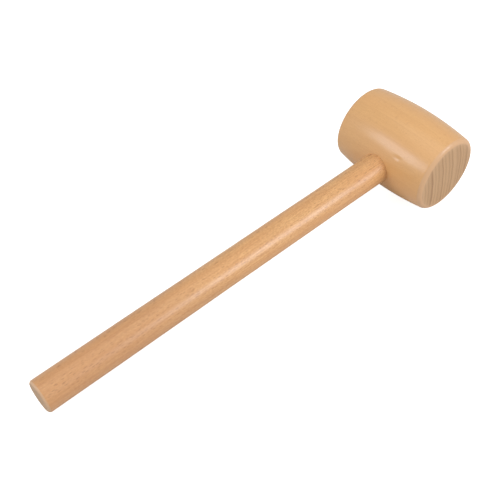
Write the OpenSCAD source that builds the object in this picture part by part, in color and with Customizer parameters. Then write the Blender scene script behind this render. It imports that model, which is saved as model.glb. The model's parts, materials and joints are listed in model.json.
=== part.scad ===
// Carving mallet: a barrel-shaped beech head on a plain beech dowel handle.
// The handle goes right through the head, and a hardwood wedge driven into its
// sawn end presses it against the eye. The mallet lies on its side, as it is put
// down on a bench: the head's belly and the butt's rim touch the bench at z = 0.

/* [Head] */
// Largest diameter of the head, at the middle of its length
head_d = 52; // [46:1:60]
// Length of the head from striking face to striking face
head_len = 67.5; // [60:0.5:76]
// How much the barrel's radius falls from the middle to the striking faces
belly_drop = 2.8; // [1.5:0.1:4]
// Radius of the rounding between the barrel and each striking face
face_round_r = 3; // [1.5:0.5:4]

/* [Handle] */
// Diameter of the handle dowel
handle_d = 18; // [16:0.5:20]
// Distance from the head's axis to the end of the butt
reach = 256; // [200:1:300]
// Width of the chamfer on the butt's rim
butt_chamfer = 0.9; // [0.3:0.1:2]
// How far the handle stands off the middle of the head, toward the right face
handle_offset = 1.2; // [0:0.1:3]

/* [Wedged joint] */
// How much thinner the tenon is than the dowel, across its diameter
tenon_step = 0.4; // [0.2:0.1:1]
// How far the tenon's shoulder stops short of the head's lowest line
shoulder_gap = 0.1; // [0.1:0.05:0.3]
// Solid wood between the tenon's shoulder and the end of the saw kerf
kerf_land = 18; // [12:1:22]
// Width of the saw kerf at its end
kerf_w = 1.2; // [0.8:0.1:2]
// Thickness of the wedge at the top of the head, which opens the kerf to match
wedge_top_w = 2.8; // [2.2:0.1:3.6]
// Empty kerf left below the tip of the wedge
tip_gap = 5; // [2:0.5:7]
// Gap between each narrow side of the wedge and the eye
wedge_side_gap = 0.3; // [0.2:0.1:0.6]

/* [Hidden] */
$fn = 96;
past = 4;                  // how far a cutting shape runs past what it cuts
belly_steps = 16;          // bands along the belly, even, so one edge is the widest
round_steps = 8;           // bands around each rounded corner

head_r = head_d / 2;
half_len = head_len / 2;
handle_r = handle_d / 2;
tenon_r = (handle_d - tenon_step) / 2;

// The belly is an arc through the widest point and both face planes, and a
// smaller arc rounds it into each face. Both arcs share one tangent there.
belly_r = (half_len^2 + belly_drop^2) / (2 * belly_drop);
belly_centre = head_r - belly_r;
round_y = half_len - face_round_r;
round_angle = asin(round_y / (belly_r - face_round_r));
round_centre = belly_centre + (belly_r - face_round_r) * cos(round_angle);

// Heights along the handle, from the head's axis: the tenon's shoulder, the
// end of the kerf, and the top, where tenon and wedge are sanded to the barrel.
shoulder_z = -head_r - shoulder_gap;
kerf_z = shoulder_z + kerf_land;
land_mid_z = shoulder_z + kerf_land / 2; // inside the barrel, below the kerf
tenon_top = head_r + past;
kerf_slope = (wedge_top_w - kerf_w) / 2 / (head_r - kerf_z);

// Lying on the bench, the handle slopes down to its butt by rest_tilt. The
// origin is under the middle of the whole mallet.
rim_dist = reach - butt_chamfer;
rest_tilt = asin(head_r / norm([rim_dist, handle_r])) - atan2(handle_r, rim_dist);
butt_y = reach * cos(rest_tilt) + (handle_r - butt_chamfer) * sin(rest_tilt);
head_y = (butt_y - head_r) / 2;

// Points [radius, place along the axis] of an arc, without its first end.
function arc(r_centre, y_centre, r, from, to, steps) =
    [for (i = [1:steps])
        let (t = from + (to - from) * i / steps)
        [r_centre + r * cos(t), y_centre + r * sin(t)]];

// Turns the mallet from standing on its butt, head axis along X, to lying.
module lay_down() {
    translate([0, head_y, head_r])
        rotate([rest_tilt - 90, 0, 0])
            children();
}

// The turned barrel, with its axis along X.
module barrel() {
    outline = concat(
        [[0, -half_len], [round_centre, -half_len]],
        arc(round_centre, -round_y, face_round_r, -90, -round_angle, round_steps),
        arc(belly_centre, 0, belly_r, -round_angle, round_angle, belly_steps),
        arc(round_centre, round_y, face_round_r, round_angle, 90, round_steps),
        [[0, half_len]]
    );
    rotate([0, 90, 0])
        rotate_extrude()
            polygon(outline);
}

// The kerf as the wedge holds it open, from a height up past the top.
module open_kerf(from_z, width) {
    low_half = kerf_w / 2 + (from_z - kerf_z) * kerf_slope;
    top_half = kerf_w / 2 + (tenon_top - kerf_z) * kerf_slope;
    rotate([90, 0, 0])
        linear_extrude(height = width, center = true)
            polygon([
                [-low_half, from_z],
                [low_half, from_z],
                [top_half, tenon_top],
                [-top_half, tenon_top]
            ]);
}

// The head: the turned barrel, bored across for the tenon.
module head() {
    color([0.86, 0.68, 0.47])
        lay_down()
            difference() {
                barrel();
                translate([handle_offset, 0, -tenon_top])
                    cylinder(h = 2 * tenon_top, r = tenon_r);
            }
}

// The handle: a dowel with a chamfered butt, and a tenon that is sawn down the
// middle, opened by the wedge, and sanded flush with the barrel. The tenon is
// whole up to land_mid_z, and from there it is trimmed by the barrel.
module handle() {
    color([0.83, 0.61, 0.42])
        lay_down() {
            translate([handle_offset, 0, -reach])
                cylinder(h = butt_chamfer, r1 = handle_r - butt_chamfer, r2 = handle_r);
            translate([handle_offset, 0, -rim_dist])
                cylinder(h = rim_dist + shoulder_z, r = handle_r);
            translate([handle_offset, 0, shoulder_z])
                cylinder(h = land_mid_z - shoulder_z, r = tenon_r);
            intersection() {
                translate([handle_offset, 0, 0])
                    difference() {
                        translate([0, 0, land_mid_z])
                            cylinder(h = tenon_top - land_mid_z, r = tenon_r);
                        open_kerf(kerf_z, 2 * (tenon_r + past));
                    }
                barrel();
            }
        }
}

// The wedge: a flat taper across the head's grain, sanded flush like the tenon.
module wedge() {
    color([0.66, 0.46, 0.30])
        lay_down()
            intersection() {
                translate([handle_offset, 0, 0])
                    open_kerf(kerf_z + tip_gap, 2 * (tenon_r - wedge_side_gap));
                barrel();
            }
}

head();
handle();
wedge();
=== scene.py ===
import json

import bmesh
import bpy
import numpy as np
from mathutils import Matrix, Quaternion, Vector


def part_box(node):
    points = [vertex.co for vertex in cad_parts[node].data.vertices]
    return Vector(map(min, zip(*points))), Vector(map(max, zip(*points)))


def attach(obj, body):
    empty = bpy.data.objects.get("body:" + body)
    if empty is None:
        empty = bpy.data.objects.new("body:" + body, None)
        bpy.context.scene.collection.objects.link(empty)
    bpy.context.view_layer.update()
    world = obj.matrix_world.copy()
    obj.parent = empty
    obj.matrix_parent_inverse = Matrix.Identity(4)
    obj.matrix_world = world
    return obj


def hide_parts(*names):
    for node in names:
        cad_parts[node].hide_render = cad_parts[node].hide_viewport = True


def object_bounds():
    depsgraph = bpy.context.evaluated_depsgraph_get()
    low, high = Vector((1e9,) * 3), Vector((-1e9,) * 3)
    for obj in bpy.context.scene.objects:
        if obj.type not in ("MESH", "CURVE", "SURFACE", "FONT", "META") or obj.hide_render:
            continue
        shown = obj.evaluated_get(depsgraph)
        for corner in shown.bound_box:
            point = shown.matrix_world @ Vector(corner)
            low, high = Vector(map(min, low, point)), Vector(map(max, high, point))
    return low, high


# A small carving mallet, put together from its head, its handle and the wedge that
# holds them. Each section makes one piece: sizes, mesh, wood and finish.

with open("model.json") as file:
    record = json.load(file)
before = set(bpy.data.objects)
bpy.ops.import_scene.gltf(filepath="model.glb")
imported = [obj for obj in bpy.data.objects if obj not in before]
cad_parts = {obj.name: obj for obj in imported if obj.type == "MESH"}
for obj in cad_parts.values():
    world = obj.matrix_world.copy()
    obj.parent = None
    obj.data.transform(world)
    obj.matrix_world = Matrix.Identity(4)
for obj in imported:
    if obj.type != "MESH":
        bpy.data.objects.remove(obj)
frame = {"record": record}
cad_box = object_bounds()

# ------------------------------------------------------------------------------ head
# The head is a barrel turned from one piece of beech with the grain along its axis,
# so both striking faces are end grain. It is bored across for the handle, its edges
# are eased by hand and it is dipped in a clear satin lacquer.

MM = 0.001

head_low, head_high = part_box("head")
head_centre = (head_low + head_high) / 2
head_r = round(head_high.z - head_centre.z, 4)
half_len = round(head_high.x - head_centre.x, 5)
BELLY_DROP = 2.8 * MM        # how much less the radius is at the striking faces
FACE_ROUND_R = 3.0 * MM      # rounding between the barrel and a striking face

# The handle's own direction and thickness come from its mount.
grip = next(m for m in frame["record"]["mounts"] if m["name"] == "handle_grip")
grip_r = grip["dims"]["r_mm"] * MM
grip_middle = Vector(grip["pos_m"])
to_butt = Vector(grip["axis"])
handle_offset = grip_middle.x - head_centre.x

TENON_STEP = 0.2 * MM        # how much less the tenon's radius is than the dowel's
GLUE_LINE = 0.02 * MM        # between the wall of the eye and the tenon
MOUTH_EASE = 0.06 * MM       # easing of the eye's edge where the handle goes in
TOP_EASE = 0.08 * MM         # the same on the far side, after sanding flush

# The belly is one arc through the widest point and both face planes, and a smaller arc
# rounds it into each face.
belly_r = (half_len**2 + BELLY_DROP**2) / (2 * BELLY_DROP)
belly_centre = head_r - belly_r
round_x = half_len - FACE_ROUND_R
round_angle = np.arcsin(round_x / (belly_r - FACE_ROUND_R))
round_centre = belly_centre + (belly_r - FACE_ROUND_R) * np.cos(round_angle)
belly_end = belly_r * np.sin(round_angle)


def barrel_radius(x):
    """Radius of the barrel at x: the belly's arc, as its centre plus a square root."""
    return belly_centre + np.sqrt(belly_r**2 - x**2)


def barrel_height(x, y):
    """Height of the barrel above its axis at (x, y): root of radius squared less y squared."""
    return np.sqrt(barrel_radius(x)**2 - y**2)


def lay_down(points):
    """From the mallet's own axes, X along the head and Z up the handle, to how it lies:
    the head's centre plus x, y and z times the three directions."""
    up = -np.array(to_butt)
    along = np.array([1.0, 0.0, 0.0])
    across = np.cross(up, along)
    return np.array(head_centre) + points @ np.array([along, across, up])


def as_points(*xyz):
    """Three arrays of any matching shapes as one array of points."""
    return np.stack(np.broadcast_arrays(*xyz), axis=-1)


MERGE_WITHIN = 0.002 * MM    # corners closer than this are one corner
THIN_EDGE = 0.001 * MM       # shorter edges are dissolved


def wooden_piece(name, patches):
    """One closed mesh from patches, each a grid of points. Every cell of a grid is one
    quad, and the edges that patches share are merged."""
    points, quads, start = [], [], 0
    for patch in patches:
        rows, cols = patch.shape[:2]
        index = start + np.arange(rows * cols).reshape(rows, cols)
        corners = [index[:-1, :-1], index[1:, :-1], index[1:, 1:], index[:-1, 1:]]
        quads.append(np.stack([c.ravel() for c in corners], axis=1))
        points.append(lay_down(patch.reshape(-1, 3)))
        start += rows * cols
    mesh = bpy.data.meshes.new(name)
    mesh.from_pydata(np.concatenate(points), [], np.concatenate(quads))
    shell = bmesh.new()
    shell.from_mesh(mesh)
    bmesh.ops.remove_doubles(shell, verts=shell.verts, dist=MERGE_WITHIN)
    bmesh.ops.dissolve_degenerate(shell, edges=shell.edges, dist=THIN_EDGE)
    bmesh.ops.recalc_face_normals(shell, faces=shell.faces)
    shell.to_mesh(mesh)
    shell.free()
    mesh.shade_smooth()
    piece = bpy.data.objects.new(name, mesh)
    bpy.context.scene.collection.objects.link(piece)
    return piece


TURNING_WAVE = 0.012 * MM    # height of the waves that turning and sanding leave
WAVE_PITCH = 5.2 * MM        # length along the barrel over which a wave turns by a radian
DENT_SIZE = np.array([2.2, 1.1, 1.1]) * MM  # how far it reaches, along the barrel and across
DENT_DEPTH = 0.28 * MM
DENT_X, DENT_Y = 12.9 * MM, -13.3 * MM      # from the middle of the head
dent_centre = np.array([DENT_X, DENT_Y, -barrel_height(DENT_X, DENT_Y)])


def barrel_relief(points):
    """What turning and use leave on the barrel, in and out along the radius: a slow wave
    along the axis and around it, as a product of sines, and one small long dent beside
    the handle, as the exponential of minus the distance squared."""
    x, y, z = points[..., 0], points[..., 1], points[..., 2]
    around = np.arctan2(y, z)
    wave = np.sin(x / WAVE_PITCH + 1.3 * np.sin(2 * around)) * np.sin(3 * around + 0.7)
    from_dent = np.linalg.norm((points - dent_centre) / DENT_SIZE, axis=-1)
    out = TURNING_WAVE * wave - DENT_DEPTH * np.exp(-from_dent**2)
    radius = np.hypot(y, z)
    return points + as_points(0, y / radius, z / radius) * out[..., None]


# Each half of the barrel runs from the rim of the eye out to a rectangle: the middle
# line on both sides and the start of the rounding at both ends.
AROUND = 132                 # cells over half a turn of the barrel
ALONG = 48                   # cells along the barrel
OUTWARD = 80                 # rows from the eye out to the rectangle
CROWDING = 1.25              # power that crowds those rows toward the eye
RIM_ROWS = 7                 # rows over the eased edge of the eye
EYE_ROWS = 10                # rows down the wall of the eye
half_turn = np.linspace(-np.pi / 2, np.pi / 2, AROUND + 1)
lengthwise = np.linspace(-belly_end, belly_end, ALONG + 1)
edge_x = np.concatenate([
    np.full(AROUND, belly_end), lengthwise[:0:-1],
    np.full(AROUND, -belly_end), lengthwise,
])
edge_turn = np.concatenate([
    half_turn[:-1], np.full(ALONG, np.pi / 2),
    half_turn[:0:-1], np.full(ALONG + 1, -np.pi / 2),
])
rim_angle = np.arctan2(head_r * edge_turn, edge_x - handle_offset)


def half_barrel(side, hole_r):
    """Half the barrel around its eye. A row goes from the rim of the eye, at rim_angle, to
    the rectangle's edge, in x and in the turn about the barrel's axis."""
    rim_x = handle_offset + hole_r * np.cos(rim_angle)
    rim_turn = np.arcsin(hole_r * np.sin(rim_angle) / barrel_radius(rim_x))
    out = np.linspace(0, 1, OUTWARD)[:, None]**CROWDING
    x = rim_x + (edge_x - rim_x) * out
    turn = rim_turn + (edge_turn - rim_turn) * out
    radius = barrel_radius(x)
    return barrel_relief(as_points(x, radius * np.sin(turn), side * radius * np.cos(turn)))


def eased_rim(side, hole_r, ease):
    """The quarter round between the barrel and the wall of the eye: the hole grows by
    ease and the height falls by ease, as sine and cosine of one angle."""
    angle = np.linspace(0, np.pi / 2, RIM_ROWS)[:, None]
    r = hole_r + ease * (1 - np.sin(angle))
    x = handle_offset + r * np.cos(rim_angle)
    y = r * np.sin(rim_angle)
    return as_points(x, y, side * (barrel_height(x, y) - ease * (1 - np.cos(angle))))


tenon_r = grip_r - TENON_STEP
eye_r = tenon_r + GLUE_LINE
mouth_rim = eased_rim(-1, eye_r, MOUTH_EASE)
top_rim = eased_rim(1, eye_r, TOP_EASE)
mouth_side = half_barrel(-1, eye_r + MOUTH_EASE)
top_side = half_barrel(1, eye_r + TOP_EASE)
mouth_rim[0] = mouth_side[0]
top_rim[0] = top_side[0]


def eye_wall(low, high):
    """The wall of the eye between two rings with the same count: straight lines."""
    return low + (high - low) * np.linspace(0, 1, EYE_ROWS)[:, None, None]


FACE_WAVE = 0.015 * MM       # unevenness that sanding leaves on a striking face
FACE_PITCH = 6.5 * MM        # length over which its waves turn by a radian
FACE_FADE = 3.0 * MM         # width over which the unevenness fades in from the edge
RIM_FALL = 0.16 * MM         # how far the face is sanded back where the rounding starts
RIM_WIDTH = 4.0 * MM         # width of the sanded rim
CORNER_ROWS = 15             # rows over the rounding
FACE_ROWS = 31               # rows from the rounding in to the middle of the face


def striking_end(side):
    """The rounding, then the flat face in to its centre. Its rim is sanded back by a
    parabola that fades out over the rounding, and sanding leaves the rest a hair hollow
    in places: a product of a sine and a cosine, less its own height."""
    turn = np.linspace(0, 2 * np.pi, 2 * AROUND + 1)
    angle = np.linspace(round_angle, np.pi / 2, CORNER_ROWS)[:, None]
    corner_x = round_x + FACE_ROUND_R * np.sin(angle)
    corner_r = round_centre + FACE_ROUND_R * np.cos(angle)
    inward = np.linspace(1, 0, FACE_ROWS)[1:, None]
    x = np.concatenate([corner_x, np.full_like(inward, half_len)])
    r = np.concatenate([corner_r, round_centre * inward])
    y, z = r * np.sin(turn), r * np.cos(turn)
    on_rim = np.maximum(r - round_centre + RIM_WIDTH, 0) / RIM_WIDTH
    on_round = np.clip((r - round_centre) / (r[0] - round_centre), 0, 1)
    fall = RIM_FALL * on_rim**2 * (1 - on_round**2)
    fade = np.clip((round_centre - r) / FACE_FADE, 0, 1)
    hollow = FACE_WAVE * (np.sin(y / FACE_PITCH + 0.8) * np.cos(z / FACE_PITCH) - 1) * fade
    end = as_points(side * (x + hollow - fall), y, z)
    end[0] = barrel_relief(end[0])
    return end


head = wooden_piece("mallet_head", [
    mouth_side,
    mouth_rim,
    eye_wall(mouth_rim[-1], top_rim[-1]),
    top_rim,
    top_side,
    striking_end(1),
    striking_end(-1),
])
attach(head, "root")
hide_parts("head")


def node(tree, kind, inputs=None, **settings):
    """Adds one shader node, with its inputs from numbers or from other nodes' sockets."""
    made = tree.nodes.new(kind)
    for name, value in settings.items():
        setattr(made, name, value)
    for key, value in (inputs or {}).items():
        if isinstance(value, bpy.types.NodeSocket):
            tree.links.new(value, made.inputs[key])
        else:
            made.inputs[key].default_value = value
    return made


def maths(tree, operation, *values, clamp=False):
    """A Math node's output, for an operation on up to three values."""
    return node(tree, "ShaderNodeMath", dict(enumerate(values)),
                operation=operation, use_clamp=clamp).outputs[0]


def ramp(tree, value, low, high, to_low=0.0, to_high=1.0):
    """A value carried smoothly from the range low..high to the range to_low..to_high."""
    made = node(tree, "ShaderNodeMapRange", {
        "Value": value, "From Min": low, "From Max": high,
        "To Min": to_low, "To Max": to_high,
    }, interpolation_type="SMOOTHSTEP")
    return made.outputs[0]


def blend(tree, factor, first, second):
    """Two colours mixed by a factor."""
    made = node(tree, "ShaderNodeMix", {0: factor, 6: first, 7: second}, data_type="RGBA")
    return made.outputs[2]


def vector_maths(tree, operation, *values):
    """A Vector Math node's first output."""
    return node(tree, "ShaderNodeVectorMath", dict(enumerate(values)),
                operation=operation).outputs[0]


def noise(tree, place, scale, detail, **inputs):
    """Noise at a place stretched by a scale for each direction."""
    stretched = vector_maths(tree, "MULTIPLY", place, scale)
    return node(tree, "ShaderNodeTexNoise", {
        "Vector": stretched, "Scale": 1.0, "Detail": detail, **inputs,
    }).outputs


def colour(red, green, blue):
    """A display colour, 0 to 255, as the linear colour that a shader takes."""
    share = np.array([red, green, blue]) / 255
    linear = np.where(share <= 0.04045, share / 12.92, ((share + 0.055) / 1.055)**2.4)
    return (*linear, 1.0)


def new_group(name, inputs, outputs):
    """An empty node group with named sockets. Returns its tree, inputs and outputs."""
    tree = bpy.data.node_groups.new(name, "ShaderNodeTree")
    for label, kind, value in inputs:
        socket = tree.interface.new_socket(label, in_out="INPUT", socket_type=kind)
        socket.default_value = value
    for label in outputs:
        tree.interface.new_socket(label, in_out="OUTPUT", socket_type="NodeSocketFloat")
    return tree, tree.nodes.new("NodeGroupInput").outputs, tree.nodes.new("NodeGroupOutput").inputs


def beech_figure_group():
    """The figure of beech, in millimetres with the grain along Z. Growth rings are shells
    about a pith far to one side, rays are thin blades that point at it, and fibres are
    noise drawn out along the grain. Scales are counts per millimetre."""
    tree, given, out = new_group("Beech figure", [
        ("Vector", "NodeSocketVector", (0, 0, 0)),
        ("Pith Distance", "NodeSocketFloat", 70.0),
        ("Ring Lean", "NodeSocketFloat", 0.0),
        ("Ring Width", "NodeSocketFloat", 3.0),
        ("Fleck Length", "NodeSocketFloat", 2.2),
    ], ["Late Wood", "Year Tone", "Flecks", "Streaks", "Mottle", "Pores", "Blotches", "Toward Butt"])

    # Turn about the grain, so that X points away from the pith.
    turned = node(tree, "ShaderNodeVectorRotate", {
        "Vector": given["Vector"], "Angle": given["Ring Lean"],
    }, rotation_type="Z_AXIS").outputs[0]
    # The grain wanders slowly along the tree, by up to 2.5 mm to each side.
    wander = noise(tree, turned, (0.03, 0.03, 0.009), 3.0)["Color"]
    wander = vector_maths(tree, "SUBTRACT", wander, (0.5, 0.5, 0.5))
    moved = vector_maths(tree, "MULTIPLY_ADD", wander, (5.0, 5.0, 0.0), turned)
    part = node(tree, "ShaderNodeSeparateXYZ", {0: moved}).outputs
    from_pith = maths(tree, "ADD", part["X"], given["Pith Distance"])
    squares = maths(tree, "ADD", maths(tree, "MULTIPLY", from_pith, from_pith),
                    maths(tree, "MULTIPLY", part["Y"], part["Y"]))
    radial = maths(tree, "SQRT", squares)
    sideways = maths(tree, "MULTIPLY", maths(tree, "ARCTAN2", part["Y"], from_pith), radial)

    # Years differ in width, by shifts of up to 0.8 of a year. Late wood darkens the second
    # half of each and ends sharply with it, at 0.7 to 1.2 of its strength.
    uneven = node(tree, "ShaderNodeTexNoise", {
        "W": maths(tree, "MULTIPLY", radial, 0.16), "Scale": 1.0, "Detail": 0.0,
    }, noise_dimensions="1D").outputs[0]
    years = maths(tree, "ADD", maths(tree, "DIVIDE", radial, given["Ring Width"]),
                  maths(tree, "MULTIPLY", uneven, 0.8))
    season = maths(tree, "FRACT", years)
    late = maths(tree, "MULTIPLY", ramp(tree, season, 0.30, 0.85), ramp(tree, season, 1.0, 0.90))
    tone = node(tree, "ShaderNodeTexWhiteNoise", {"W": maths(tree, "FLOOR", years)},
                noise_dimensions="1D").outputs["Value"]
    strength = maths(tree, "MULTIPLY_ADD", tone, 0.5, 0.7)
    tree.links.new(maths(tree, "MULTIPLY", late, strength), out["Late Wood"])
    tree.links.new(tone, out["Year Tone"])

    # Rays: cells that are 5 mm long toward the pith, 0.7 mm thin across, and along the grain
    # 1.7 flecks apart. Chance sets how much of its cell each fleck fills.
    blade = node(tree, "ShaderNodeCombineXYZ", {
        "X": maths(tree, "MULTIPLY", radial, 0.20),
        "Y": maths(tree, "MULTIPLY", sideways, 1.45),
        "Z": maths(tree, "DIVIDE", part["Z"], maths(tree, "MULTIPLY", given["Fleck Length"], 1.7)),
    }).outputs[0]
    cells = node(tree, "ShaderNodeTexVoronoi", {"Vector": blade, "Scale": 1.0, "Randomness": 1.0})
    chance = node(tree, "ShaderNodeSeparateColor", {0: cells.outputs["Color"]}).outputs[0]
    reach = ramp(tree, chance, 0.25, 1.0, 0.05, 0.40)
    fleck = maths(tree, "SUBTRACT", reach, cells.outputs["Distance"])
    tree.links.new(ramp(tree, fleck, 0.0, 0.14), out["Flecks"])

    # Long streaks of fibre, a curly mottle, fine pores and broad blotches.
    streaks = noise(tree, moved, (1.6, 1.6, 0.035), 3.0, Roughness=0.6)[0]
    mottle = noise(tree, moved, (1.9, 1.9, 0.8), 2.0)[0]
    pores = noise(tree, turned, (6.5, 6.5, 0.5), 2.0)[0]
    blotches = noise(tree, turned, (0.09, 0.09, 0.02), 2.0)[0]
    tree.links.new(ramp(tree, streaks, 0.3, 0.7), out["Streaks"])
    tree.links.new(ramp(tree, mottle, 0.35, 0.65), out["Mottle"])
    tree.links.new(ramp(tree, pores, 0.52, 0.75), out["Pores"])
    tree.links.new(ramp(tree, blotches, 0.3, 0.7), out["Blotches"])

    # Some 125 to 210 mm below the head a mask rises toward the butt, sooner or later
    # with the blotches; the handle takes a darker, redder tone from it there.
    toward_butt = maths(tree, "MULTIPLY_ADD", blotches, 60.0, part["Z"])
    tree.links.new(ramp(tree, toward_butt, -95.0, -180.0), out["Toward Butt"])
    return tree


def end_grain_group():
    """Where a surface cuts across the grain: the normal's share along the grain, turned
    into a mask that sets in 21 degrees from a square cut, by the root of the slant away
    from it, and a mask of the rounding, from 5 to 33 degrees off the side grain."""
    tree, given, out = new_group("End grain", [
        ("Normal", "NodeSocketVector", (0, 0, 1)),
        ("Grain", "NodeSocketVector", (0, 0, 1)),
    ], ["Mask", "Rounding"])
    share = node(tree, "ShaderNodeVectorMath", {0: given["Normal"], 1: given["Grain"]},
                 operation="DOT_PRODUCT").outputs["Value"]
    share = maths(tree, "ABSOLUTE", share)
    squared = maths(tree, "MULTIPLY", share, share)
    slant = maths(tree, "SQRT", maths(tree, "SUBTRACT", 1.0, squared, clamp=True))
    tree.links.new(ramp(tree, maths(tree, "SQRT", slant), 0.60, 0.10), out["Mask"])
    tree.links.new(ramp(tree, share, 0.08, 0.55), out["Rounding"])
    return tree


def lacquer_group():
    """A dipped and rubbed lacquer: its gloss is patchy, it dulls where end grain soaks it
    up, and its skin has a faint orange peel with a few specks of dust."""
    tree, given, out = new_group("Rubbed lacquer", [
        ("Vector", "NodeSocketVector", (0, 0, 0)),
        ("End Grain", "NodeSocketFloat", 0.0),
        ("Roughness", "NodeSocketFloat", 0.4),
        ("Dull Roughness", "NodeSocketFloat", 0.7),
        ("Coat", "NodeSocketFloat", 0.35),
    ], ["Roughness", "Coat Weight", "Skin"])
    patchy = noise(tree, given["Vector"], (0.12, 0.12, 0.12), 3.0)[0]
    gloss = maths(tree, "ADD", given["Roughness"], ramp(tree, patchy, 0.3, 0.7, -0.05, 0.06))
    dull = node(tree, "ShaderNodeMix", {0: given["End Grain"], 2: gloss, 3: given["Dull Roughness"]})
    tree.links.new(dull.outputs[0], out["Roughness"])
    kept = maths(tree, "SUBTRACT", 1.0, maths(tree, "MULTIPLY", given["End Grain"], 0.8))
    tree.links.new(maths(tree, "MULTIPLY", given["Coat"], kept), out["Coat Weight"])
    peel = noise(tree, given["Vector"], (0.9, 0.9, 0.9), 2.0)[0]
    dust = node(tree, "ShaderNodeTexVoronoi", {"Vector": given["Vector"], "Scale": 0.22})
    speck = ramp(tree, dust.outputs["Distance"], 0.05, 0.02)
    tree.links.new(maths(tree, "ADD", peel, maths(tree, "MULTIPLY", speck, 0.8)), out["Skin"])
    return tree


beech_figure = beech_figure_group()
end_grain = end_grain_group()
rubbed_lacquer = lacquer_group()

TO_MM = (1000.0, 1000.0, 1000.0)
RING_LEAN = np.radians(-10.0)  # of the head's growth rings, from square across the handle
tilt = np.arcsin(-to_butt.z)   # how far the handle slopes down to its butt
WOOD_IOR = 1.46
ROUNDING_SOAKS = 0.6         # how dull the start of the rounding is, of full end grain
SKIN_LIFT = 0.35             # what lifts the surface: lacquer, pores and fibres
PORE_LIFT = -0.35
FIBRE_LIFT = 0.25
BUMP_STRENGTH = 0.30
BUMP_HEIGHT = 0.05 * MM      # of a full lift


def summed(tree, masks, shares):
    """The sum of masks times their shares, kept within 0 to 1."""
    total = 0.0
    for label, share in shares.items():
        total = maths(tree, "MULTIPLY_ADD", masks[label], share, total, clamp=True)
    return total


def wood(name, lie, figure, side, end, gloss, coat_roughness):
    """Lacquered wood, with its grain as it lies. The figure group's masks, each times its
    share, darken the side grain and the end grain from light to dark, marks of further
    colours go over the side grain, and the lacquer group gives its gloss."""
    made = bpy.data.materials.new(name)
    made.use_nodes = True
    tree = made.node_tree
    tree.nodes.clear()
    place = node(tree, "ShaderNodeTexCoord").outputs
    centred = node(tree, "ShaderNodeMapping", {
        "Vector": place["Object"], "Scale": TO_MM,
        "Location": tuple(-c / MM for c in lie["centre"]),
    }).outputs[0]
    turned = node(tree, "ShaderNodeMapping", {"Vector": centred, "Rotation": lie["turn"]}).outputs[0]

    masks = node(tree, "ShaderNodeGroup", {"Vector": turned, **figure},
                 node_tree=beech_figure).outputs
    cut = node(tree, "ShaderNodeGroup", {"Normal": place["Normal"], "Grain": lie["grain"]},
               node_tree=end_grain).outputs

    flat = blend(tree, summed(tree, masks, side["shares"]), side["light"], side["dark"])
    for label, share, tint in side["marks"]:
        flat = blend(tree, maths(tree, "MULTIPLY", masks[label], share), flat, tint)
    # The rounding between side and end grain takes the edge colour, a tone between the two; on the
    # head it is partly a painted highlight along the rounded corner.
    flat = blend(tree, cut["Rounding"], flat, end["edge"])
    square = blend(tree, summed(tree, masks, end["shares"]), end["light"], end["dark"])

    rounded = maths(tree, "MULTIPLY", cut["Rounding"], ROUNDING_SOAKS)
    soaked = maths(tree, "MAXIMUM", cut["Mask"], rounded)
    film = node(tree, "ShaderNodeGroup", {"Vector": turned, "End Grain": soaked, **gloss},
                node_tree=rubbed_lacquer).outputs

    lift = maths(tree, "MULTIPLY", film["Skin"], SKIN_LIFT)
    lift = maths(tree, "MULTIPLY_ADD", masks["Pores"], PORE_LIFT, lift)
    lift = maths(tree, "MULTIPLY_ADD", masks["Streaks"], FIBRE_LIFT, lift)
    bump = node(tree, "ShaderNodeBump", {
        "Height": lift, "Strength": BUMP_STRENGTH, "Distance": BUMP_HEIGHT,
    }).outputs[0]
    shader = node(tree, "ShaderNodeBsdfPrincipled", {
        "Base Color": blend(tree, cut["Mask"], flat, square),
        "Roughness": film["Roughness"],
        "Coat Weight": film["Coat Weight"],
        "Normal": bump,
    })
    shader.inputs["Coat Roughness"].default_value = coat_roughness
    shader.inputs["IOR"].default_value = WOOD_IOR
    output = tree.nodes.new("ShaderNodeOutputMaterial")
    tree.links.new(shader.outputs[0], output.inputs["Surface"])
    return made


head.data.materials.append(wood(
    "head_beech",
    lie={"centre": head_centre, "turn": (0, -np.pi / 2, 0), "grain": (1, 0, 0)},
    figure={"Pith Distance": 200.0, "Ring Lean": RING_LEAN - np.pi / 2 - tilt, "Ring Width": 3.0,
            "Fleck Length": 0.9},
    side={
        "light": colour(231, 179, 117),
        "dark": colour(208, 153, 95),
        "shares": {"Streaks": 0.20, "Late Wood": 0.09, "Mottle": 0.20, "Year Tone": 0.10},
        "marks": [
            ("Blotches", 0.50, colour(225, 169, 108)),
            ("Flecks", 0.14, colour(190, 131, 80)),
        ],
    },
    end={
        "light": colour(200, 161, 119),
        "dark": colour(148, 106, 71),
        # The edge colour here is partly the rounding's own paler tone and partly a painted highlight
        # of the rounded corner by the striking faces.
        "edge": colour(216, 171, 127),
        "shares": {"Late Wood": 0.42, "Year Tone": 0.16, "Pores": 0.34},
    },
    gloss={"Roughness": 0.50, "Dull Roughness": 0.65, "Coat": 0.95},
    coat_roughness=0.26,
))

# ---------------------------------------------------------------------------- handle
# The handle is a plain beech dowel with a chamfered butt. Its far end is turned down a
# touch, glued through the eye and sawn across the head's grain for the wedge, and what
# stands out is sanded flush with the barrel. It has the same lacquer as the head.

BUTT_CHAMFER = 0.9 * MM
BUTT_EASE = 0.18 * MM        # easing of both edges of the chamfer
EASE_R = 2.4 * BUTT_EASE     # radius of an arc that turns by 45 degrees over that easing
SHOULDER_GAP = 0.1 * MM      # from the tenon's shoulder to the head's lowest line
SHOULDER_EASE = 0.4 * MM     # length over which the dowel is turned down to the tenon
KERF_LAND = 18.0 * MM        # solid tenon between its shoulder and the kerf
KERF_W = 1.2 * MM            # saw kerf at its end
WEDGE_TOP_W = 2.8 * MM       # kerf at the top of the head, held open by the wedge

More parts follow.
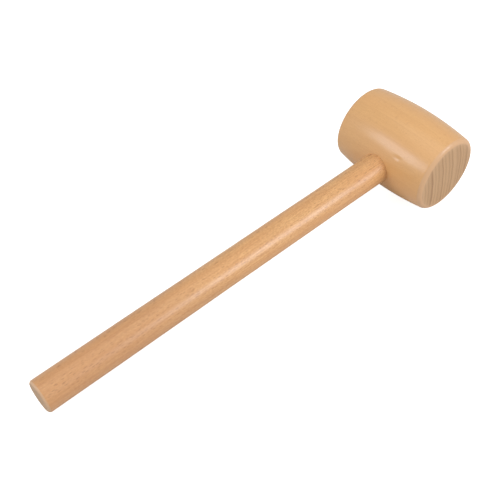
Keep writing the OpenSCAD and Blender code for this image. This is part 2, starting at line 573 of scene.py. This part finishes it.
middle = np.array(grip_middle - head_centre)
butt_z = -(np.linalg.norm(middle * [0, 1, 1]) + grip["dims"]["length_mm"] * MM / 2 + BUTT_CHAMFER)
shoulder_z = -head_r - SHOULDER_GAP
kerf_z = shoulder_z + KERF_LAND
kerf_slope = (WEDGE_TOP_W - KERF_W) / 2 / (head_r - kerf_z)


def kerf_half(z):
    """Half the width of the kerf at height z: a straight taper."""
    return KERF_W / 2 + (z - kerf_z) * kerf_slope


HALF_POINTS = 112            # points along each half of the dowel's outline
BRIDGE_POINTS = 6            # points across each end of the kerf
DISC_ROWS = 24               # rows from the middle of the butt out to its chamfer
EASE_ROWS = 5                # rows over each eased edge of the chamfer
GRIP_ROWS = 190              # rows along the grip
SHOULDER_ROWS = 6            # rows over the shoulder
TENON_ROWS = 12              # rows along the solid part of the tenon
SAWN_ROWS = 22               # rows up each half of the split tenon
TOP_ROWS = 26                # rows across its sanded top


def half_outline(side, r, half_gap):
    """One side of a round outline with a slot: r times cosine and sine of an even angle,
    between the two corners where x is half the slot."""
    last = np.arccos(half_gap / r)
    angle = np.linspace(-1, 1, HALF_POINTS) * last
    return side * r * np.cos(angle), r * np.sin(angle)


def whole_outline():
    """The tenon's closed round outline, from four arcs: right side, far bridge, left side
    and near bridge, with the corners where the kerf's edges will be."""
    right_x, right_y = half_outline(1, tenon_r, KERF_W / 2)
    corner = right_x[0]
    bridge_x = np.linspace(corner, -corner, BRIDGE_POINTS)[1:-1]
    bridge_y = np.sqrt(tenon_r**2 - bridge_x**2)
    x = np.concatenate([right_x, bridge_x, -right_x[::-1], bridge_x[::-1], right_x[:1]])
    y = np.concatenate([right_y, bridge_y, right_y[::-1], -bridge_y, right_y[:1]])
    return x, y


def handle_profile():
    """Radius and height from the centre of the butt to the end of the kerf: end disc,
    eased chamfer, grip, shoulder and tenon."""
    eased = BUTT_CHAMFER + BUTT_EASE
    disc = np.linspace(0, 1, DISC_ROWS) * (grip_r - eased)
    ease = np.linspace(0, np.pi / 4, EASE_ROWS)[1:]
    low_r = grip_r - eased + EASE_R * np.sin(ease)
    low_z = butt_z + EASE_R * (1 - np.cos(ease))
    high_r = grip_r - EASE_R * (1 - np.cos(ease[::-1]))
    high_z = butt_z + eased - EASE_R * np.sin(ease[::-1])
    grip_z = np.linspace(butt_z + eased, shoulder_z - SHOULDER_EASE, GRIP_ROWS)
    turned_down = np.linspace(0, 1, SHOULDER_ROWS)[1:]
    shoulder_r = tenon_r + TENON_STEP * (1 + np.cos(np.pi * turned_down)) / 2
    tenon_z = np.linspace(shoulder_z, kerf_z, TENON_ROWS)[1:]
    r = np.concatenate([
        disc, low_r, high_r, np.full_like(grip_z, grip_r), shoulder_r, np.full_like(tenon_z, tenon_r),
    ])
    z = np.concatenate([
        np.full_like(disc, butt_z), low_z, high_z, grip_z,
        shoulder_z - SHOULDER_EASE * (1 - turned_down), tenon_z,
    ])
    return r, z


GRIP_WAVE = 0.018 * MM       # height of the waves that sanding leaves along the grip
LONG_PITCH = 17.0 * MM       # lengths over which the two waves turn by a radian
SHORT_PITCH = 7.3 * MM
GRIP_FADE = 12.0 * MM        # length over which they fade in from the head


def dowel_body():
    """The profile carried round the closed outline. Sanding leaves the grip a hair out of
    true: slow sines along it and around it, fading to nothing at the head."""
    profile_r, profile_z = handle_profile()
    outline_x, outline_y = whole_outline()
    x = profile_r[:, None] * outline_x / tenon_r
    y = profile_r[:, None] * outline_y / tenon_r
    z = profile_z[:, None]
    turn = np.arctan2(y, x)
    fade = np.clip((-head_r - z) / GRIP_FADE, 0, 1)
    wave = np.sin(z / LONG_PITCH + 2 * turn) + 0.6 * np.sin(z / SHORT_PITCH - 3 * turn + 1.1)
    swell = 1 + fade * GRIP_WAVE * wave / grip_r
    return as_points(handle_offset + x * swell, y * swell, z)


def top_of(x, y):
    """Height of the sanded top: the barrel's surface above the handle's axis."""
    return barrel_height(handle_offset + x, y)


def sawn_half(side):
    """One half of the split tenon: its round side, its sawn side and its top, each ruled
    between its lower and upper outline."""
    up = np.linspace(0, 1, SAWN_ROWS)[:, None]
    low_x, low_y = half_outline(side, tenon_r, kerf_half(kerf_z))
    high_x, high_y = half_outline(side, tenon_r, kerf_half(head_r))
    x = low_x + (high_x - low_x) * up
    y = low_y + (high_y - low_y) * up
    scale = tenon_r / np.hypot(x, y)
    x, y = x * scale, y * scale
    z = kerf_z + (top_of(high_x, high_y) - kerf_z) * up
    wall = as_points(handle_offset + x, y, z)
    sawn_x = side * (kerf_half(kerf_z) + (kerf_half(head_r) - kerf_half(kerf_z)) * up)
    sawn_top = top_of(side * kerf_half(head_r), high_y)
    sawn = as_points(handle_offset + sawn_x, y, kerf_z + (sawn_top - kerf_z) * up)
    sawn[:, 0], sawn[:, -1] = wall[:, 0], wall[:, -1]
    in_from_wall = np.linspace(0, 1, TOP_ROWS)[:, None]
    top_x = high_x + (side * kerf_half(head_r) - high_x) * in_from_wall
    top = as_points(handle_offset + top_x, high_y, top_of(top_x, high_y))
    return [wall, sawn, top]


def kerf_floor():
    """The end of the kerf, ruled between the two sawn sides."""
    x, y = half_outline(1, tenon_r, kerf_half(kerf_z))
    share = y / y[-1]
    columns = np.linspace(x[0], -x[0], BRIDGE_POINTS)[:, None]
    return as_points(handle_offset + columns, share * np.sqrt(tenon_r**2 - columns**2), kerf_z)


handle = wooden_piece("mallet_handle", [
    dowel_body(),
    kerf_floor(),
    *sawn_half(1),
    *sawn_half(-1),
])
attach(handle, "root")
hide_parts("handle")

along_handle = {
    "centre": head_centre + Vector((handle_offset, 0, 0)),
    "turn": (np.pi / 2 - tilt, 0, 0),
    "grain": tuple(to_butt),
}
handle.data.materials.append(wood(
    "handle_beech",
    lie=along_handle,
    figure={"Pith Distance": 70.0, "Ring Lean": 0.9, "Ring Width": 2.6, "Fleck Length": 2.2},
    side={
        "light": colour(239, 189, 129),
        "dark": colour(185, 125, 74),
        "shares": {"Streaks": 0.36, "Late Wood": 0.16, "Mottle": 0.34, "Year Tone": 0.08},
        "marks": [
            ("Blotches", 0.42, colour(219, 158, 102)),
            # Darker and redder toward the butt.
            ("Toward Butt", 0.42, colour(190, 136, 96)),
            ("Flecks", 0.42, colour(150, 94, 54)),
        ],
    },
    end={
        "light": colour(204, 170, 134),
        "dark": colour(160, 122, 88),
        "edge": colour(214, 174, 136),
        "shares": {"Late Wood": 0.60, "Year Tone": 0.15, "Pores": 0.25},
    },
    gloss={"Roughness": 0.44, "Dull Roughness": 0.60, "Coat": 0.58},
    coat_roughness=0.32,
))

# ----------------------------------------------------------------------------- wedge
# The wedge is a slip of darker hardwood, cut with its grain along the handle. It is
# driven with glue into the kerf, across the grain of the head, and sanded flush.

TIP_GAP = 5.0 * MM           # empty kerf below its tip
WEDGE_SIDE_GAP = 0.3 * MM    # between its narrow sides and the eye
WIDE_ROWS = 49               # points across a broad side
THICK_ROWS = 13              # points through its thickness
TALL_ROWS = 30               # points from the tip to the top


def driven_wedge():
    """A slab between the kerf's two sides: both broad sides, both narrow sides, the tip
    and the sanded top, each ruled between its edges."""
    tip_z = kerf_z + TIP_GAP
    wide = np.linspace(-1, 1, WIDE_ROWS) * (tenon_r - WEDGE_SIDE_GAP)
    thick = np.linspace(-1, 1, THICK_ROWS)
    up = np.linspace(0, 1, TALL_ROWS)

    def spot(t, y, u):
        """A point at a share t of the thickness, at y, and a share u of the way up."""
        x_low, x_high = t * kerf_half(tip_z), t * kerf_half(head_r)
        z = tip_z + (top_of(x_high, y) - tip_z) * u
        return as_points(handle_offset + x_low + (x_high - x_low) * u, y, z)

    faces = [spot(t, wide[None, :], up[:, None]) for t in (-1.0, 1.0)]
    faces += [spot(thick[None, :], y, up[:, None]) for y in (wide[0], wide[-1])]
    faces += [spot(thick[None, :], wide[:, None], u) for u in (0.0, 1.0)]
    return faces


wedge = wooden_piece("mallet_wedge", driven_wedge())
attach(wedge, "root")
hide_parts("wedge")
wedge.data.materials.append(wood(
    "wedge_hardwood",
    lie=along_handle,
    figure={"Pith Distance": 45.0, "Ring Lean": 0.2, "Ring Width": 1.4, "Fleck Length": 1.4},
    side={
        "light": colour(168, 118, 78),
        "dark": colour(132, 88, 56),
        "shares": {"Streaks": 0.50, "Late Wood": 0.40, "Mottle": 0.20, "Year Tone": 0.20},
        "marks": [
            ("Blotches", 0.30, colour(150, 100, 64)),
            ("Flecks", 0.30, colour(112, 72, 46)),
        ],
    },
    end={
        "light": colour(146, 100, 64),
        "dark": colour(108, 70, 44),
        "edge": colour(150, 104, 68),
        "shares": {"Late Wood": 0.60, "Year Tone": 0.20, "Pores": 0.30},
    },
    gloss={"Roughness": 0.45, "Dull Roughness": 0.58, "Coat": 0.25},
    coat_roughness=0.26,
))

# ----------------------------------------------------------------------- bench, light
# The mallet lies on a plain white bench between two soft boxes, one on each side of the
# camera, under a pale ceiling.

BENCH = 6.0                  # metres from its middle to each edge
BENCH_GREY = 0.68
BENCH_GLOW = 0.85            # what the eye sees of the bench on top of the light on it
ROOM_LIGHT = 0.55            # what the room's walls send on to the mallet
ROOM_GLOW = 0.50             # what the eye sees of them on top of that

low, high = (Vector(corner) for corner in cad_box)
bench_mesh = bpy.data.meshes.new("bench")
bench_corners = [(-BENCH, -BENCH, 0), (BENCH, -BENCH, 0), (BENCH, BENCH, 0), (-BENCH, BENCH, 0)]
bench_mesh.from_pydata(bench_corners, [], [(0, 1, 2, 3)])
bench = bpy.data.objects.new("bench", bench_mesh)
bpy.context.scene.collection.objects.link(bench)
paint = bpy.data.materials.new("bench_white")
paint.use_nodes = True
paint_shader = paint.node_tree.nodes["Principled BSDF"]
paint_shader.inputs["Base Color"].default_value = (BENCH_GREY, BENCH_GREY, BENCH_GREY, 1.0)
paint_shader.inputs["Roughness"].default_value = 0.9
paint_shader.inputs["Specular IOR Level"].default_value = 0.0
paint_shader.inputs["Emission Color"].default_value = (1.0, 1.0, 1.0, 1.0)
# Its own glow is for the eye alone, so the bench is white and its bounce stays weak.
seen = paint.node_tree.nodes.new("ShaderNodeLightPath").outputs["Is Camera Ray"]
glow = maths(paint.node_tree, "MULTIPLY", seen, BENCH_GLOW)
paint.node_tree.links.new(glow, paint_shader.inputs["Emission Strength"])
bench_mesh.materials.append(paint)


def toward(azimuth, elevation):
    """The direction to a place, by two angles in degrees: azimuth is counted from the
    butt's side toward the right striking face, and elevation from level."""
    a, e = np.radians([azimuth, elevation])
    return Vector((np.sin(a) * np.cos(e), -np.cos(a) * np.cos(e), np.sin(e)))


def soft_box(name, azimuth, elevation, distance, size, power, tint):
    """A rectangular light of a size and distance in metres and a power in watts, which
    faces the mallet from a direction."""
    direction = toward(azimuth, elevation)
    data = bpy.data.lights.new(name, "AREA")
    data.shape = "RECTANGLE"
    data.size, data.size_y = size
    data.energy = power
    data.color = tint
    lamp = bpy.data.objects.new(name, data)
    lamp.location = (low + high) / 2 + direction * distance
    lamp.rotation_euler = direction.to_track_quat("Z", "Y").to_euler()
    bpy.context.scene.collection.objects.link(lamp)


soft_box("left_box", -22, 30, 1.4, (0.80, 0.56), 5.4, (0.93, 0.99, 1.14))
soft_box("right_box", 119, 29, 1.4, (0.56, 0.56), 8.2, (0.97, 0.99, 1.05))
soft_box("ceiling", 30, 88, 1.8, (1.6, 1.6), 6.6, (1.0, 0.96, 0.90))

# The room is white to the eye, and dimmer and warmer where it lights the mallet.
world = bpy.data.worlds.new("pale_room")
world.use_nodes = True
walls = world.node_tree.nodes["Background"]
walls.inputs["Color"].default_value = (1.0, 0.985, 0.94, 1.0)
for_eye = world.node_tree.nodes.new("ShaderNodeLightPath").outputs["Is Camera Ray"]
room = maths(world.node_tree, "MULTIPLY_ADD", for_eye, ROOM_GLOW, ROOM_LIGHT)
world.node_tree.links.new(room, walls.inputs["Strength"])
bpy.context.scene.world = world
bpy.context.scene.view_settings.view_transform = "Standard"

# ---------------------------------------------------------------------------- camera
# The camera looks down on the middle of the mallet from the right of its butt, at arm's
# length, and is turned a little about its line of sight.

VIEW_AZIMUTH = 47.11         # degrees from the butt's side toward the right striking face
VIEW_ELEVATION = 46.46
VIEW_ROLL = 2.16             # degrees about the line of sight
VIEW_DISTANCE = 423.0 * MM
VIEW_FOCAL = 56.72           # both in millimetres
VIEW_SENSOR = 36.0
VIEW_NEAREST = 0.01          # metres, nearer than anything that shows
AIM = Vector((0.74 * MM, -8.69 * MM, 20.0 * MM))  # what it looks at

line_of_sight = toward(VIEW_AZIMUTH, VIEW_ELEVATION)
camera_data = bpy.data.cameras.new("camera")
camera_data.lens = VIEW_FOCAL
camera_data.sensor_width = VIEW_SENSOR
camera_data.clip_start = VIEW_NEAREST
camera = bpy.data.objects.new("camera", camera_data)
camera.location = AIM + line_of_sight * VIEW_DISTANCE
facing = line_of_sight.to_track_quat("Z", "Y") @ Quaternion((0, 0, 1), np.radians(VIEW_ROLL))
camera.rotation_euler = facing.to_euler()
bpy.context.scene.collection.objects.link(camera)
bpy.context.scene.camera = camera
